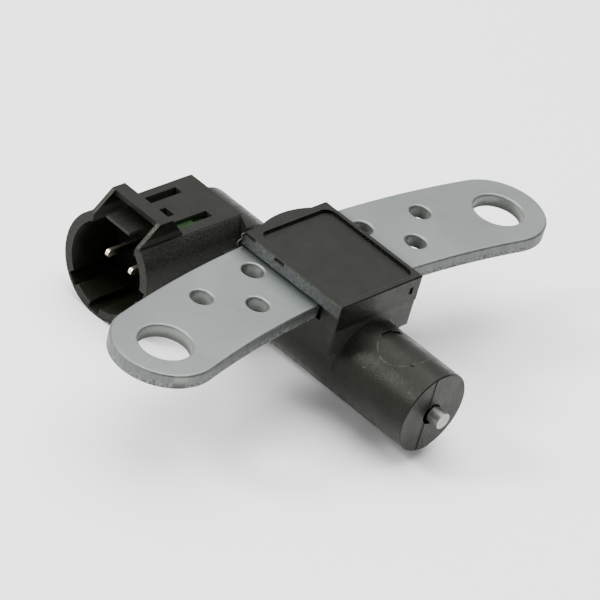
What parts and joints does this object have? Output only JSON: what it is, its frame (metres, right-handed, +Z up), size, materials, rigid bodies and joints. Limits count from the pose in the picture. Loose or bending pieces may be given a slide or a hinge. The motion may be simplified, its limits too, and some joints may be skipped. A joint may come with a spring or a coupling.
{
  "type": "crankshaft position sensor",
  "caption": "Inductive speed pickup in a black moulding on a curved punched steel bracket, with a steel pole tip and a round plug socket at right angles.",
  "frame": {"origin": "midway between the two bolt holes, on the underside of the bracket", "axes": "+X along the bracket from one bolt hole to the other, away from the plug socket's mouth; -Y towards the sensing tip; +Z up, out of the bracket's upper face"},
  "size_m": [0.0986, 0.0683, 0.0237],
  "materials": {
    "zinc_steel": "dull zinc plating",
    "moulding": "satin, moulded",
    "pole_steel": "cut end",
    "bobbin_plastic": "plain",
    "copper_wire": "enamelled",
    "magnet": "ground",
    "tinned_brass": "tinned",
    "green_plastic": "plain"
  },
  "bodies": {
    "root": {"mounting_bracket": "zinc_steel", "sensor_body": "moulding", "pole_piece": "pole_steel", "coil_bobbin": "bobbin_plastic", "coil_winding": "copper_wire", "magnet": "magnet", "insulating_cap": "bobbin_plastic", "terminal_outer": "tinned_brass", "terminal_inner": "tinned_brass", "terminal_carrier": "green_plastic"}
  },
  "joints": []
}
